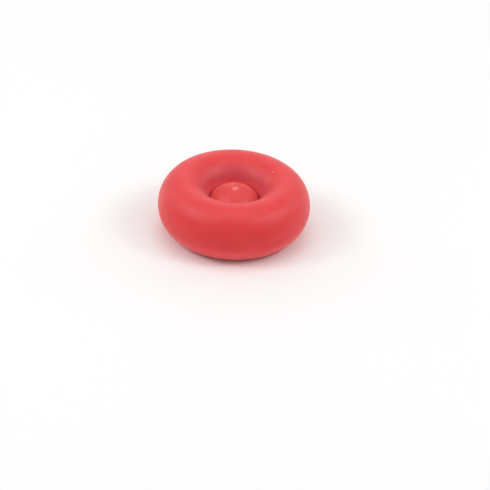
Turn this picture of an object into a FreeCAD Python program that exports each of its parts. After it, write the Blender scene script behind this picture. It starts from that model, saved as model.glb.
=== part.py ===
"""Small case opening friction ball: a soft rubber grip ring with a rubber ball held in its hole.

The ring is pressed on a screwed case back and twisted by its outer rim. The ball fills the hole,
keeps the ring round under the thumb, and can be pushed out of either side of the ring.

Frame: millimetres, +Z up along the axis of the ring. The origin is the centre of the narrow flat
under the ring, on the surface that the tool stands on.
"""

import FreeCAD
import Part
import math
import os

Vector = FreeCAD.Vector

# Driving dimensions, in millimetres
ring_outer_diameter = 16.0      # over the widest part of the rim
ring_hole_diameter = 5.4        # at the waist of the hole
ring_height = 6.1               # from the flat under the ring to its crest
rest_flat_width = 1.1           # radial width of the moulded flat under the ring
ball_clearance = 0.03           # radial gap between the ball and the waist of the hole
ball_ground_gap = 0.02          # the ball stops this far above the surface under the ring

# The oval section of the ring. The flat takes a shallow slice off the bottom of the oval.
section_half_width = (ring_outer_diameter - ring_hole_diameter) / 4
section_radius = (ring_outer_diameter + ring_hole_diameter) / 4
flat_share = rest_flat_width / (2 * section_half_width)
section_half_height = ring_height / (1 + math.sqrt(1 - flat_share ** 2))
waist_height = ring_height - section_half_height

# The ball, on the axis of the hole
ball_radius = ring_hole_diameter / 2 - ball_clearance
ball_centre_height = ball_ground_gap + ball_radius


def oval(centre, half_width, half_height):
    """A closed oval edge in the XZ plane. Part.Ellipse takes the end of its longer half first."""
    beside = centre + Vector(half_width, 0, 0)
    above = centre + Vector(0, 0, half_height)
    if half_height >= half_width:
        return Part.Ellipse(above, beside, centre).toShape()
    return Part.Ellipse(beside, above, centre).toShape()


def make_grip_ring():
    """One solid moulding: an oval section, cut flat underneath and turned about +Z."""
    centre = Vector(section_radius, 0, waist_height)
    outline = oval(centre, section_half_width, section_half_height)
    section = Part.Face(Part.Wire([outline]))
    slab_corner = Vector(0, -ring_height / 2, -ring_height)
    slab_below = Part.makeBox(ring_outer_diameter, ring_height, ring_height, slab_corner)
    section = section.cut(slab_below).Faces[0]
    return section.revolve(Vector(0, 0, 0), Vector(0, 0, 1), 360)


def make_centre_ball():
    """A plain ball, a running fit in the waist of the hole."""
    return Part.makeSphere(ball_radius, Vector(0, 0, ball_centre_height))


parts = {
    "grip_ring": make_grip_ring(),
    "centre_ball": make_centre_ball(),
}

os.makedirs("parts", exist_ok=True)
for name, shape in parts.items():
    shape.exportStep(os.path.join("parts", name + ".step"))
    print(name, shape.ShapeType, "valid", shape.isValid(), "volume", round(shape.Volume, 2))
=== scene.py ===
"""Looks of the case opening friction ball: a soft rubber grip ring and the rubber ball in its hole.

Everything is in metres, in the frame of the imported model: +Z up along the axis of the ring, with
the surface that it stands on at z = 0. Both pieces are rebuilt as fine meshes with the marks that
moulding leaves on such rubber, and each gets a procedural material.
"""

import math

import bmesh
import bpy
from mathutils import Matrix, Vector, noise


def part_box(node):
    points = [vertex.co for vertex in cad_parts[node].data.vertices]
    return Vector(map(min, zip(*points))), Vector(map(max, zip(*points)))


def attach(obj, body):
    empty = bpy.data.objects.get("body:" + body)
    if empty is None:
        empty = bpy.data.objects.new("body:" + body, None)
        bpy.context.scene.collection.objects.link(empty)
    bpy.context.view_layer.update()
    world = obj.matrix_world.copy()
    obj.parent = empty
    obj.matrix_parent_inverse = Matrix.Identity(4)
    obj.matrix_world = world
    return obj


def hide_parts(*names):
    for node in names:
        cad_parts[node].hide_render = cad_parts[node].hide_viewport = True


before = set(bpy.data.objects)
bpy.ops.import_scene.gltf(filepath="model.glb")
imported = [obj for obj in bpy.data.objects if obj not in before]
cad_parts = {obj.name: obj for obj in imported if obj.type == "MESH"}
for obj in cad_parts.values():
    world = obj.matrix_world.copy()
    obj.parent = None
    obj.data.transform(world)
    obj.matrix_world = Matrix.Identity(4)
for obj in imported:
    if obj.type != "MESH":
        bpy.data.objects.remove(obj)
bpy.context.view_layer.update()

MM = 0.001
FULL_TURN = 2 * math.pi


# ---------------------------------------------------------------- small helpers


def smooth_bump(distance, width):
    """A bell from 1 at distance 0 to almost 0 at twice the width."""
    return math.exp(-((distance / width) ** 2))


def smooth_step(low, high, value):
    """0 below low, 1 above high, and an S-shaped rise between them."""
    share = min(max((value - low) / (high - low), 0), 1)
    return share * share * (3 - 2 * share)


def direction(turn, tilt):
    """The unit vector tilted from +Z by tilt degrees, towards turn degrees from +X."""
    turn, tilt = math.radians(turn), math.radians(tilt)
    return Vector((math.sin(tilt) * math.cos(turn), math.sin(tilt) * math.sin(turn), math.cos(tilt)))


def outward(turn):
    """The level unit vector at that turn from +X, in radians."""
    return Vector((math.cos(turn), math.sin(turn), 0))


def show_mesh(mesh):
    """Puts a mesh into the scene, smooth shaded, as an object of the same name."""
    mesh.shade_smooth()
    piece = bpy.data.objects.new(mesh.name, mesh)
    bpy.context.collection.objects.link(piece)
    return piece


# ---------------------------------------------------------------- sizes, and the shape of the ring

# What the frame says about the two pieces
ring_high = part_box("grip_ring")[1]
ball_low, ball_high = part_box("centre_ball")
outer_radius = ring_high.x
ring_height = ring_high.z
ball_radius = (ball_high.z - ball_low.z) / 2
ball_centre = Vector((0, 0, (ball_high.z + ball_low.z) / 2))

# The oval section of the ring, with a narrow flat under it
BALL_CLEARANCE = 0.03 * MM
REST_FLAT_WIDTH = 1.1 * MM
hole_radius = ball_radius + BALL_CLEARANCE
section_radius = (outer_radius + hole_radius) / 2
half_width = (outer_radius - hole_radius) / 2
half_height = ring_height / (1 + math.sqrt(1 - (REST_FLAT_WIDTH / 2 / half_width) ** 2))
waist_height = ring_height - half_height

# Angles round the section go from its outermost point up and over to the wall of the hole
HOLE_WALL_START = math.radians(100)
HOLE_WALL_END = math.radians(178)

# How fine the ring's mesh is
RING_SEGMENTS = 448
RING_STEP = 0.125 * MM
HOLE_WALL_STEP = 0.05 * MM

# The bead where the two mould halves met, with the places of the mesh's lines beside its middle
BEAD_HEIGHT = 0.014 * MM
BEAD_WIDTH = 0.03 * MM
BEAD_LINES = (0, 0.3, 0.6, 0.95, 1.35, 1.9)
ROOM_BEFORE_BEAD = 1.3
BEAD_TRIM_MEAN = 0.55
BEAD_TRIM_SPREAD = 0.45

# The flat that the ring stands on: how soft its edge is, and the height up to which it is kept true
FLAT_EDGE_SOFTNESS = 0.02 * MM
FLAT_REACH = 0.4 * MM

# A little unevenness all over, with some finer noise in it
UNEVENNESS = 0.016 * MM
UNEVENNESS_LENGTH = 3.2 * MM
FINE_UNEVENNESS = 0.2 * UNEVENNESS
FINE_UNEVENNESS_LENGTH = 0.3 * UNEVENNESS_LENGTH

# Faint rings on the wall of the hole, which fade in and out over these angles in radians
RIPPLE_HEIGHT = 0.004 * MM
RIPPLE_LENGTH = 0.27 * MM
RIPPLE_FADE_IN = 0.4
RIPPLE_FADE_OUT = 0.25

# The hole is a little wider on one side: where, how far round, and how deep
HOLE_PULL_TURN = math.radians(-12)
HOLE_PULL_SPREAD = math.radians(30)
HOLE_PULL_ANGLE = math.radians(148)
HOLE_PULL_WIDTH = math.radians(24)
HOLE_PULL_DEPTH = 0.14 * MM


def on_plain_ring(turn, angle):
    """The point of the plain oval ring at that turn and angle round the section, in radians."""
    radius = section_radius + half_width * math.cos(angle)
    height = waist_height + half_height * math.sin(angle)
    return outward(turn) * radius + Vector((0, 0, height))


def ring_mark(turn, angle, radius, height):
    """A small round mark at that turn and angle in degrees: its place, radius and height."""
    return on_plain_ring(math.radians(turn), math.radians(angle)), radius, height


# A raised dot, a dent beside it, and a low blister further down the wall
RING_DOT = ring_mark(28, 110, 0.10 * MM, 0.030 * MM)
RING_DENT = ring_mark(24, 113, 0.10 * MM, -0.030 * MM)
RING_BLISTER = ring_mark(22, 130, 0.26 * MM, 0.016 * MM)


# ---------------------------------------------------------------- the grip ring


def section_angles():
    """Angles of the mesh's lines round the section: closer on the hole's wall and beside the bead."""
    bead = [share * BEAD_WIDTH / half_height for share in BEAD_LINES]
    angles = list(bead)
    angle = bead[-1]
    while angle < FULL_TURN - bead[-1]:
        speed = math.hypot(half_width * math.sin(angle), half_height * math.cos(angle))
        on_wall = HOLE_WALL_START < angle < HOLE_WALL_END
        angle += (HOLE_WALL_STEP if on_wall else RING_STEP) / speed
        angles.append(angle)
    angles = [a for a in angles if a < FULL_TURN - ROOM_BEFORE_BEAD * bead[-1]]
    return angles + [FULL_TURN - a for a in reversed(bead[1:])]


def unevenness(point):
    wavy = noise.noise(point / UNEVENNESS_LENGTH + Vector((3.1, 0.7, 5.2)))
    fine = noise.noise(point / FINE_UNEVENNESS_LENGTH + Vector((8.4, 2.2, 1.9)))
    return UNEVENNESS * wavy + FINE_UNEVENNESS * fine


def parting_bead(turn, angle):
    """The bead round the ring's widest line, trimmed unevenly."""
    from_bead = math.remainder(angle, FULL_TURN) * half_height
    trimmed = BEAD_TRIM_MEAN + BEAD_TRIM_SPREAD * noise.noise(outward(turn) * 4)
    return BEAD_HEIGHT * trimmed * smooth_bump(from_bead, BEAD_WIDTH)


def wall_ripple(turn, angle):
    """Faint rings on the wall of the hole, broken up along their length."""
    fade_in = smooth_step(HOLE_WALL_START, HOLE_WALL_START + RIPPLE_FADE_IN, angle)
    fade_out = 1 - smooth_step(HOLE_WALL_END - RIPPLE_FADE_OUT, HOLE_WALL_END, angle)
    broken = noise.noise(outward(turn) * 3 + Vector((0, 0, angle * 5)))
    wave = math.sin(FULL_TURN * angle * half_height / RIPPLE_LENGTH + 2 * broken)
    return RIPPLE_HEIGHT * fade_in * fade_out * wave * (0.5 + broken)


def hole_pull(turn, angle):
    """How much wider the hole is there than a round one."""
    beside = abs(math.remainder(turn - HOLE_PULL_TURN, FULL_TURN))
    along = smooth_bump(beside, HOLE_PULL_SPREAD)
    return HOLE_PULL_DEPTH * along * smooth_bump(angle - HOLE_PULL_ANGLE, HOLE_PULL_WIDTH)


def ring_relief(turn, angle, point):
    """How far the ring's surface stands out from the plain oval there."""
    relief = unevenness(point) + parting_bead(turn, angle)
    relief += wall_ripple(turn, angle) - hole_pull(turn, angle)
    for place, radius, height in (RING_DOT, RING_DENT, RING_BLISTER):
        relief += height * smooth_bump((point - place).length, radius)
    return relief


def near_flat(height):
    """1 on the flat that the ring stands on, fading to 0 a little above it."""
    return 1 - smooth_step(0, FLAT_REACH, height)


def ring_point(turn, angle):
    """The point of the finished ring: the plain oval, its relief, and the flat cut off softly."""
    point = on_plain_ring(turn, angle)
    normal = outward(turn) * math.cos(angle) / half_width
    normal.z = math.sin(angle) / half_height
    normal.normalize()
    point += normal * ring_relief(turn, angle, point) * (1 - near_flat(point.z))
    point.z = (point.z + math.hypot(point.z, FLAT_EDGE_SOFTNESS)) / 2
    return point


def ring_faces(count):
    """Four-sided faces between neighbouring sections of that many points, closed both ways round."""
    faces = []
    for i in range(RING_SEGMENTS):
        here = i * count
        beyond = (i + 1) % RING_SEGMENTS * count
        for j in range(count):
            k = (j + 1) % count
            faces.append((here + j, beyond + j, beyond + k, here + k))
    return faces


def make_grip_ring():
    """The ring's mesh, with its lowest points set down at z = 0."""
    angles = section_angles()
    turns = [FULL_TURN * i / RING_SEGMENTS for i in range(RING_SEGMENTS)]
    points = [ring_point(turn, angle) for turn in turns for angle in angles]
    lift = min(point.z for point in points)
    for point in points:
        point.z -= lift * near_flat(point.z)
    mesh = bpy.data.meshes.new("grip_ring_rubber")
    mesh.from_pydata(points, [], ring_faces(len(angles)))
    return show_mesh(mesh)


# ---------------------------------------------------------------- marks of the ball

BALL_SUBDIVISIONS = 7

# The ball isn't quite round: flat on top, fading between these tilts, and full round its shoulder
TOP_FLATNESS = 0.075 * MM
TOP_FLAT_TILTS = (math.radians(18), math.radians(62))
SHOULDER_HEIGHT = 0.052 * MM
SHOULDER_TILT = math.radians(62)
SHOULDER_WIDTH = math.radians(17)

# The scar on top of the ball, where the sprue was torn off: pits, and the lumps of the torn rim.
# Each is a direction, a radius and a height.
GATE_PITS = [
    (direction(126, 5), 0.13 * MM, -0.050 * MM),
    (direction(43, 2), 0.11 * MM, -0.030 * MM),
    (direction(53, 8), 0.13 * MM, -0.030 * MM),
]
GATE_LUMPS = [
    (direction(-102, 10.5), 0.13 * MM, 0.055 * MM),
    (direction(-78, 10), 0.16 * MM, 0.075 * MM),
    (direction(-59, 11), 0.13 * MM, 0.050 * MM),
    (direction(-84, 14), 0.10 * MM, 0.040 * MM),
    (direction(108, 13), 0.13 * MM, 0.070 * MM),
    (direction(140, 7), 0.06 * MM, 0.050 * MM),
]

# Noise pulls the scar's outlines about, this far in ball radii, and with these shifts it is another
# noise along each axis. More noise changes the heights in the scar.
GATE_WANDER = 0.022
WANDER_SHIFTS = [Vector((0, 0, 0)), Vector((5.3, 1.7, 8.9)), Vector((2.9, 9.1, 4.4))]
TORN_SPREAD = 0.7

# A small raised dot lower on the ball
PIP = (direction(-111, 45), 0.16 * MM, 0.022 * MM)

# The parting line, on the plane across this normal, just behind the scar. It is worn away on top.
SEAM_NORMAL = direction(-91, 75)
SEAM_HEIGHT = 0.011 * MM
SEAM_WIDTH = 0.045 * MM
SEAM_TRIM = 0.6
SEAM_WORN_PLACE = direction(89, 15)
SEAM_WORN_RADIUS = 0.75 * MM

# Unevenness of the ball: heights, and how many waves of noise go into a radius
BALL_WAVES = 0.008 * MM
BALL_WAVE_COUNT = 2.1
BALL_FINE_WAVES = 0.003 * MM
BALL_FINE_WAVE_COUNT = 9


# ---------------------------------------------------------------- the ball


def ball_fullness(way):
    """How far the ball stands out from a sphere there, being flat on top and full in the shoulder."""
    tilt = math.acos(min(way.z, 1))
    shoulder = SHOULDER_HEIGHT * smooth_bump(tilt - SHOULDER_TILT, SHOULDER_WIDTH)
    return shoulder - TOP_FLATNESS * (1 - smooth_step(*TOP_FLAT_TILTS, tilt))


def on_ball(way):
    """The point of the ball's surface in that direction from its centre."""
    return ball_centre + way * (ball_radius + ball_fullness(way))


def seam_relief(way):
    """The parting line of the ball, trimmed unevenly and worn away on top."""
    from_seam = abs(way.dot(SEAM_NORMAL)) * ball_radius
    trimmed = max(SEAM_TRIM + SEAM_TRIM * noise.noise(way * 5 + Vector((0, 2, 0))), 0)
    from_worn = (way - SEAM_WORN_PLACE).length * ball_radius
    trimmed *= 1 - smooth_bump(from_worn, SEAM_WORN_RADIUS)
    return SEAM_HEIGHT * trimmed * smooth_bump(from_seam, SEAM_WIDTH)


def ball_relief(way):
    """How far the ball's surface stands out from a plain sphere in that direction."""
    relief = ball_fullness(way) + seam_relief(way)
    relief += BALL_WAVES * noise.noise(way * BALL_WAVE_COUNT + Vector((1.3, 4.4, 0.2)))
    relief += BALL_FINE_WAVES * noise.noise(way * BALL_FINE_WAVE_COUNT + Vector((7.0, 0.4, 3.3)))
    torn = 1 + TORN_SPREAD * noise.noise(way * 40)
    wander = Vector([noise.noise(way * 22 + shift) for shift in WANDER_SHIFTS])
    pulled = way + GATE_WANDER * wander
    for centre, radius, height in GATE_PITS + GATE_LUMPS:
        relief += height * torn * smooth_bump((pulled - centre).length * ball_radius, radius)
    centre, radius, height = PIP
    return relief + height * smooth_bump((way - centre).length * ball_radius, radius)


def make_centre_ball():
    shell = bmesh.new()
    bmesh.ops.create_icosphere(shell, subdivisions=BALL_SUBDIVISIONS, radius=1)
    for vertex in shell.verts:
        way = vertex.co.normalized()
        vertex.co = ball_centre + way * (ball_radius + ball_relief(way))
    mesh = bpy.data.meshes.new("centre_ball_rubber")
    shell.to_mesh(mesh)
    shell.free()
    return show_mesh(mesh)


# ---------------------------------------------------------------- a short way to write nodes


class Nodes:
    """The nodes of one material. Points and lengths are in the object's own space, in metres."""

    def __init__(self, name):
        self.material = bpy.data.materials.new(name)
        self.material.use_nodes = True
        self.tree = self.material.node_tree
        self.shader = self.tree.nodes["Principled BSDF"]
        self.place = self.add("ShaderNodeTexCoord").outputs["Object"]

    def add(self, kind, inputs=None, **settings):
        node = self.tree.nodes.new(kind)
        for name, value in settings.items():
            setattr(node, name, value)
        for name, value in (inputs or {}).items():
            self.put(node.inputs[name], value)
        return node

    def put(self, socket, value):
        """Links another node's output to a socket, or sets the socket to a plain value."""
        if isinstance(value, bpy.types.NodeSocket):
            self.tree.links.new(value, socket)
        else:
            socket.default_value = value

    def noise(self, length, detail=2.0, roughness=0.5):
        """Noise from 0 to 1 whose features are about that long."""
        inputs = {"Vector": self.place, "Scale": 1 / length, "Detail": detail, "Roughness": roughness}
        return self.add("ShaderNodeTexNoise", inputs).outputs["Fac"]

    def ramp(self, value, low, high, to_low=0.0, to_high=1.0):
        """Maps low..high onto to_low..to_high, held at both ends."""
        inputs = {"Value": value, "From Min": low, "From Max": high, "To Min": to_low, "To Max": to_high}
        return self.add("ShaderNodeMapRange", inputs, interpolation_type="SMOOTHSTEP").outputs["Result"]

    def math(self, operation, *values):
        return self.add("ShaderNodeMath", dict(enumerate(values)), operation=operation).outputs[0]

    def times(self, *shares):
        """The product of two or more shares."""
        product = shares[0]
        for share in shares[1:]:
            product = self.math("MULTIPLY", product, share)
        return product

    def vector(self, operation, output, *values):
        node = self.add("ShaderNodeVectorMath", dict(enumerate(values)), operation=operation)
        return node.outputs[output]

    def mix(self, share, first, second):
        node = self.add("ShaderNodeMix", {0: share}, data_type="RGBA")
        self.put(node.inputs[6], first)
        self.put(node.inputs[7], second)
        return node.outputs[2]

    def height(self):
        return self.add("ShaderNodeSeparateXYZ", {"Vector": self.place}).outputs["Z"]

    def from_axis(self):
        """The distance from the axis of the ring."""
        parts = self.add("ShaderNodeSeparateXYZ", {"Vector": self.place}).outputs
        level = self.add("ShaderNodeCombineXYZ", {"X": parts["X"], "Y": parts["Y"]}).outputs[0]
        return self.vector("LENGTH", "Value", level)

    def specks(self, spacing, size, kept):
        """Small dots, one to a cell of that spacing, in a share of the cells."""
        inputs = {"Vector": self.place, "Scale": 1 / spacing}
        cells = self.add("ShaderNodeTexVoronoi", inputs, feature="F1")
        dot = self.ramp(cells.outputs["Distance"], size * 0.5 / spacing, size / spacing, 1.0, 0.0)
        pick = self.add("ShaderNodeSeparateColor", {"Color": cells.outputs["Color"]})
        return self.times(dot, self.math("LESS_THAN", pick.outputs[0], kept))

    def spot(self, centre, radius, ragged=0.0):
        """1 within a ball round that point, fading to 0 at its edge, which wanders by ragged radii."""
        apart = self.vector("DISTANCE", "Value", self.place, centre)
        if ragged:
            wander = self.ramp(self.noise(radius * 0.7, 3, 0.65), 0.3, 0.7, -1.0, 1.0)
            apart = self.math("ADD", apart, self.times(wander, radius * ragged))
        return self.ramp(apart, radius * 0.45, radius, 1.0, 0.0)

    def spots(self, marks, ragged):
        """1 on each of the marks, which are a place and a radius."""
        share = 0.0
        for place, radius in marks:
            share = self.math("MAXIMUM", self.spot(place, radius, ragged), share)
        return share

    def stripe(self, centre, normal, width):
        """1 on the plane through that point, fading to 0 at half the width from it."""
        away = self.vector("SUBTRACT", "Vector", self.place, centre)
        apart = self.math("ABSOLUTE", self.vector("DOT_PRODUCT", "Value", away, normal))
        return self.ramp(apart, width * 0.2, width * 0.5, 1.0, 0.0)

    def bump(self, height, distance, strength, normal=None):
        inputs = {"Height": height, "Distance": distance, "Strength": strength}
        if normal is not None:
            inputs["Normal"] = normal
        return self.add("ShaderNodeBump", inputs).outputs["Normal"]


# ---------------------------------------------------------------- marks in the rubber's colour

# Painted light covers the rubber high up and low down, fading in between these heights: a paler painted
# highlight on top of the ring, and a painted reflection of the floor on the low edge
HIGH_PAINTED_LIGHT_FROM = 3.0 * MM
HIGH_PAINTED_LIGHT_TO = 5.6 * MM
LOW_PAINTED_LIGHT_FROM = 2.5 * MM
LOW_PAINTED_LIGHT_TO = 1.3 * MM
LOW_PAINTED_REFLECTION_COLOUR = (0.84, 0.078, 0.092, 1)

DUST_SPACING = 0.8 * MM
DUST_SIZE = 0.07 * MM
DUST_COVER = 0.35
DUST_COLOUR = (0.90, 0.30, 0.28, 1)

# A dark red: for the streaks on the wall, as painted shade in the ring's dent, and as the painted shadow
# beside the ball's parting line
DARK_COLOUR = (0.50, 0.022, 0.025, 1)

# Painted reflection and streaks on the wall of the hole, and painted light in the gap beside the ball
WALL_REFLECTION_COLOUR = (0.64, 0.077, 0.101, 1)
# Paler painted light in the gap beside the ball
GAP_LIGHT_COLOUR = (0.90, 0.115, 0.135, 1)
WALL_STREAK_STEP = 0.42 * MM

# Marks on the ring. A SPREAD is how far the colour reaches, in radii of the mark.
RING_DOT_COLOUR = (0.90, 0.17, 0.17, 1)
RING_DOT_SPREAD = 1.6
# The dent's colour is painted shade
RING_DENT_SHADE_SPREAD = 1.5
RING_BLISTER_SPREAD = 1.7

# Paler painted light on the low flank of the ball, lifting the shade there, which fades out between
# these heights
FLANK_LIGHT_COLOUR = (0.72, 0.096, 0.104, 1)
FLANK_FROM = 4.05 * MM
FLANK_TO = 4.60 * MM

# Marks on the ball. A thin painted shadow, where a groove would be shaded, runs a little in front of the
# parting line, and the pale colour on the parting line is a painted highlight.
TORN_COLOUR = (0.93, 0.25, 0.24, 1)
TORN_COLOUR_SPREAD = 1.6
# Painted shade in the pits of the scar
PIT_SHADE_COLOUR = (0.45, 0.055, 0.050, 1)
PIT_SHADE_SPREAD = 1.5
PIP_COLOUR = (0.84, 0.10, 0.095, 1)
PIP_SPREAD = 1.6
# A painted highlight along the parting line
SEAM_HIGHLIGHT_COLOUR = (0.90, 0.215, 0.205, 1)
SEAM_HIGHLIGHT_STRIPE = 6.0 * SEAM_WIDTH
GROOVE_SHADOW_FRONT = 0.36 * MM
GROOVE_SHADOW_STRIPE = 4.5 * SEAM_WIDTH
SEAM_WORN_SPREAD = 1.6


def in_hole(n, near, far):
    """1 near the ring's axis, fading to 0 between those two distances from the hole's waist."""
    return n.ramp(n.from_axis(), hole_radius + near, hole_radius + far, 1.0, 0.0)


def wall_painted_reflection(n):
    """A mauve painted reflection of the pale surroundings on the wall of the hole."""
    uneven = n.ramp(n.noise(0.9 * MM, 3), 0.3, 0.7, 0.7, 1.0)
    return n.times(in_hole(n, 0.3 * MM, 1.7 * MM), 0.9, uneven)


def gap_painted_light(n):
    """Paler painted light in the gap, where the ball meets the wall, lifting the shade there."""
    return n.times(in_hole(n, 0.08 * MM, 0.38 * MM), 0.9)


def wall_streaks(n):
    """Thin dark broken lines round the wall of the hole."""
    height = n.height()
    wave = n.math("SINE", n.times(height, FULL_TURN / WALL_STREAK_STEP))
    broken = n.ramp(n.noise(0.8 * MM, 2, 0.6), 0.46, 0.60)
    low = n.ramp(height, waist_height + 0.6 * MM, waist_height + 0.9 * MM)
    high = n.ramp(height, waist_height + 1.5 * MM, waist_height + 2.0 * MM, 1.0, 0.0)
    on_wall = n.times(low, high, in_hole(n, 1.0 * MM, 1.4 * MM))
    return n.times(n.ramp(wave, 0.55, 0.95), broken, on_wall, 0.4)


def ring_dot_mark(n):
    place, radius, _ = RING_DOT
    return n.times(n.spot(place, RING_DOT_SPREAD * radius, 0.3), 0.9)


# Painted shade in the dent beside the raised dot
def ring_dent_painted_shade(n):
    place, radius, _ = RING_DENT
    return n.times(n.spot(place, RING_DENT_SHADE_SPREAD * radius, 0.4), 0.6)


def ring_blister_mark(n):
    place, radius, _ = RING_BLISTER
    return n.times(n.spot(place, RING_BLISTER_SPREAD * radius, 0.3), 0.7)


def flank_painted_light(n):
    """Paler painted light on the ball's low flank, lifting the shade where it sits in the hole."""
    uneven = n.ramp(n.noise(0.7 * MM, 3), 0.3, 0.7, 0.75, 1.0)
    return n.times(n.ramp(n.height(), FLANK_FROM, FLANK_TO, 1.0, 0.0), uneven)


def seam_worn(n):
    """How far the parting line's painted highlight and painted shadow fade out there, where the line
    itself is worn away.
    """
    return n.times(n.spot(on_ball(SEAM_WORN_PLACE), SEAM_WORN_SPREAD * SEAM_WORN_RADIUS), 0.9)


def groove_painted_shadow(n):
    """A thin painted shadow along the front of the parting line, in colour only."""
    line = n.stripe(ball_centre + SEAM_NORMAL * GROOVE_SHADOW_FRONT, SEAM_NORMAL, GROOVE_SHADOW_STRIPE)
    broken = n.ramp(n.noise(0.6 * MM, 2, 0.6), 0.40, 0.58, 0.3, 1.0)
    return n.times(line, broken, n.math("SUBTRACT", 0.45, seam_worn(n)))


def seam_painted_highlight(n):
    """A painted highlight along the worn parting line of the ball, broken along its length."""
    line = n.stripe(ball_centre, SEAM_NORMAL, SEAM_HIGHLIGHT_STRIPE)
    broken = n.ramp(n.noise(0.45 * MM, 2, 0.6), 0.40, 0.58, 0.35, 1.0)
    return n.times(line, broken, n.math("SUBTRACT", 1.0, seam_worn(n)))


def pip_mark(n):
    way, radius, _ = PIP
    return n.times(n.spot(on_ball(way), PIP_SPREAD * radius, 0.3), 0.8)


def pit_painted_shade(n):
    """Painted shade in the pits of the scar."""
    pits = [(on_ball(way), PIT_SHADE_SPREAD * radius) for way, radius, _ in GATE_PITS]
    return n.times(n.spots(pits, 0.4), 0.7)


def torn_mark(n):
    """The frosted lumps of the scar."""
    lumps = [(on_ball(way), TORN_COLOUR_SPREAD * radius) for way, radius, _ in GATE_LUMPS]
    speckle = n.ramp(n.noise(0.12 * MM, 2, 0.6), 0.25, 0.6, 0.6, 1.0)
    return n.times(n.spots(lumps, 0.55), speckle)


# ---------------------------------------------------------------- the rubber

CLOUD_LENGTH = 2.6 * MM
FLECK_LENGTH = 0.25 * MM
CLOUD_SHARE = 0.7
# The size of the patches in the painted light high and low
PAINTED_LIGHT_PATCH_LENGTH = 1.7 * MM
GLOSS_LENGTH = 0.9 * MM
GRAIN_LENGTH = 0.16 * MM
GRAIN_DEPTH = 0.010 * MM
PORE_LENGTH = 0.05 * MM
PORE_DEPTH = 0.003 * MM
DUST_DEPTH = 0.01 * MM


def clouded(n, colour, light_colour):
    """The rubber's own colour, wandering between the two in soft clouds and small flecks."""
    clouds = n.ramp(n.noise(CLOUD_LENGTH, 3), 0.3, 0.7)
    flecks = n.ramp(n.noise(FLECK_LENGTH, 3, 0.6), 0.35, 0.65)
    share = n.math("ADD", n.times(clouds, CLOUD_SHARE), n.times(flecks, 1 - CLOUD_SHARE))
    return n.mix(share, colour, light_colour)


def with_painted_light(n, base, high_painted_light_colour):
    """Painted light over that colour, high and low on the object: a painted highlight on top and a
    painted reflection low down.
    """
    height = n.height()
    above = n.ramp(height, HIGH_PAINTED_LIGHT_FROM, HIGH_PAINTED_LIGHT_TO)
    below = n.ramp(height, LOW_PAINTED_LIGHT_TO, LOW_PAINTED_LIGHT_FROM, 1.0, 0.0)
    uneven = n.ramp(n.noise(PAINTED_LIGHT_PATCH_LENGTH, 3), 0.3, 0.7, 0.7, 1.0)
    base = n.mix(n.times(above, uneven), base, high_painted_light_colour)
    return n.mix(n.times(below, uneven), base, LOW_PAINTED_REFLECTION_COLOUR)


def rubber(name, colour, light_colour, high_painted_light_colour, dust_share, roughness, grain, marks):
    """Moulded silicone rubber: soft light below the skin, a fine matt grain, painted light high and low
    on the object, and a little dust. Each mark is a function that takes the nodes and gives a share, and
    the colour that it fades to; several of the marks are painted light or shade."""
    n = Nodes(name)
    base = with_painted_light(n, clouded(n, colour, light_colour), high_painted_light_colour)
    dust = n.times(n.specks(DUST_SPACING, DUST_SIZE, dust_share), DUST_COVER)
    base = n.mix(dust, base, DUST_COLOUR)
    for mark, mark_colour in marks:
        base = n.mix(mark(n), base, mark_colour)
    n.put(n.shader.inputs["Base Color"], base)

    uneven = n.ramp(n.noise(GLOSS_LENGTH, 4, 0.6), 0.25, 0.75, roughness - 0.05, roughness + 0.06)
    n.put(n.shader.inputs["Roughness"], uneven)

    skin = n.bump(n.noise(GRAIN_LENGTH, 3, 0.6), GRAIN_DEPTH, grain)
    pores = n.bump(n.noise(PORE_LENGTH, 2, 0.6), PORE_DEPTH, grain, skin)
    n.put(n.shader.inputs["Normal"], n.bump(dust, DUST_DEPTH, 0.5, pores))

    n.shader.inputs["Subsurface Weight"].default_value = 0.75
    n.shader.inputs["Subsurface Radius"].default_value = (1.0, 0.15, 0.12)
    n.shader.inputs["Subsurface Scale"].default_value = 1.8 * MM
    n.shader.inputs["IOR"].default_value = 1.46
    n.shader.inputs["Sheen Weight"].default_value = 0.12
    n.shader.inputs["Sheen Roughness"].default_value = 0.35
    return n.material


def ring_rubber():
    return rubber(
        "ring_silicone",
        colour=(0.71, 0.024, 0.029, 1),
        light_colour=(0.78, 0.036, 0.042, 1),
        # the paler painted highlight on top of the ring
        high_painted_light_colour=(0.77, 0.056, 0.062, 1),
        dust_share=0.10,
        roughness=0.45,
        grain=0.9,
        marks=[
            (wall_painted_reflection, WALL_REFLECTION_COLOUR),
            (gap_painted_light, GAP_LIGHT_COLOUR),
            (wall_streaks, DARK_COLOUR),
            (ring_blister_mark, PIP_COLOUR),
            (ring_dent_painted_shade, DARK_COLOUR),
            (ring_dot_mark, RING_DOT_COLOUR),
        ],
    )


def ball_rubber():
    return rubber(
        "ball_silicone",
        colour=(0.74, 0.066, 0.070, 1),
        light_colour=(0.79, 0.077, 0.080, 1),
        # a deeper colour high on the ball, so that its lower part reads paler, as painted light
        high_painted_light_colour=(0.72, 0.054, 0.054, 1),
        dust_share=0.3,
        roughness=0.42,
        grain=1.0,
        marks=[
            (flank_painted_light, FLANK_LIGHT_COLOUR),
            (groove_painted_shadow, DARK_COLOUR),
            (seam_painted_highlight, SEAM_HIGHLIGHT_COLOUR),
            (pip_mark, PIP_COLOUR),
            (pit_painted_shade, PIT_SHADE_COLOUR),
            (torn_mark, TORN_COLOUR),
        ],
    )


# ---------------------------------------------------------------- floor, light and camera

FLOOR_RADIUS = 1.5

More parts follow.
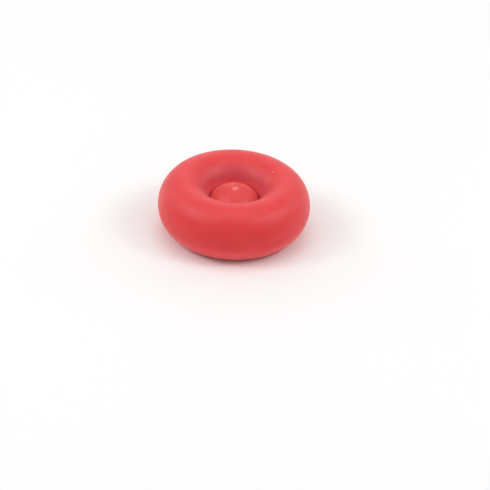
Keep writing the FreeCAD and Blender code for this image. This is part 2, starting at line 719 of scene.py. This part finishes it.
# name, turn from +X, elevation, width and power of each soft lamp
LIGHTS = [
    ("soft_top", 90, 88, 260 * MM, 0.21),
    ("soft_back", 90, 25, 240 * MM, 0.10),
    ("soft_back_left", 150, 25, 200 * MM, 0.10),
    ("soft_back_right", 30, 25, 200 * MM, 0.09),
    ("soft_left", -170, 42, 110 * MM, 0.18),
    ("soft_right", -12, 42, 110 * MM, 0.18),
    ("soft_front_left", -150, 50, 200 * MM, 0.11),
    ("soft_front_right", -30, 50, 200 * MM, 0.09),
]
LIGHT_DISTANCE = 320 * MM
WORLD_STRENGTH = 0.42

# The camera: a long lens, a little above the object, with the picture slightly turned
VIEW_ELEVATION = math.radians(32.0)
VIEW_DISTANCE = 600 * MM
VIEW_WIDTH = 51.45 * MM
VIEW_ROLL = math.radians(2.4)
AIM_RIGHT = 1.16 * MM
AIM_DOWN = 4.27 * MM
SENSOR_WIDTH = 36  # this one is in millimetres, as Blender has it


def make_floor():
    n = Nodes("pale_floor")
    n.shader.inputs["Base Color"].default_value = (0.94, 0.935, 0.93, 1)
    n.shader.inputs["Roughness"].default_value = 0.7
    n.shader.inputs["Specular IOR Level"].default_value = 0.2
    bpy.ops.mesh.primitive_circle_add(vertices=96, radius=FLOOR_RADIUS, fill_type="NGON")
    floor = bpy.context.object
    floor.name = "pale_floor"
    floor.data.materials.append(n.material)


def make_lights():
    world = bpy.data.worlds.new("studio")
    world.use_nodes = True
    background = world.node_tree.nodes["Background"]
    background.inputs["Color"].default_value = (1, 1, 1, 1)
    background.inputs["Strength"].default_value = WORLD_STRENGTH
    bpy.context.scene.world = world
    for name, turn, elevation, width, power in LIGHTS:
        lamp = bpy.data.lights.new(name, "AREA")
        lamp.shape = "DISK"
        lamp.size = width
        lamp.energy = power
        holder = bpy.data.objects.new(name, lamp)
        away = direction(turn, 90 - elevation)
        holder.location = ball_centre + away * LIGHT_DISTANCE
        holder.rotation_euler = away.to_track_quat("Z", "Y").to_euler()
        bpy.context.collection.objects.link(holder)


def make_camera():
    """Stands back from the ring's middle and aims a little to the right of it and below it."""
    lens = bpy.data.cameras.new("camera")
    camera = bpy.data.objects.new("camera", lens)
    back = Vector((0, -math.cos(VIEW_ELEVATION), math.sin(VIEW_ELEVATION)))
    target = Vector((0, 0, waist_height))
    place = target + back * VIEW_DISTANCE
    roll = Matrix.Rotation(VIEW_ROLL, 3, back)
    right = roll @ Vector((1, 0, 0))
    up = roll @ back.cross(Vector((1, 0, 0)))
    aim = target + right * AIM_RIGHT - up * AIM_DOWN
    out = (place - aim).normalized()
    across = up.cross(out).normalized()
    turned = Matrix((across, out.cross(across), out)).transposed()
    camera.matrix_world = Matrix.Translation(place) @ turned.to_4x4()
    lens.sensor_width = SENSOR_WIDTH
    lens.lens = SENSOR_WIDTH * VIEW_DISTANCE / VIEW_WIDTH
    lens.clip_start = 10 * MM
    lens.clip_end = 10
    bpy.context.collection.objects.link(camera)
    bpy.context.scene.camera = camera


# ---------------------------------------------------------------- put together

make_camera()
make_floor()
make_lights()
bpy.context.scene.view_settings.view_transform = "Standard"

ring = make_grip_ring()
ring.data.materials.append(ring_rubber())
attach(ring, "ring")
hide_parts("grip_ring")

ball = make_centre_ball()
ball.data.materials.append(ball_rubber())
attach(ball, "ball")
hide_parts("centre_ball")
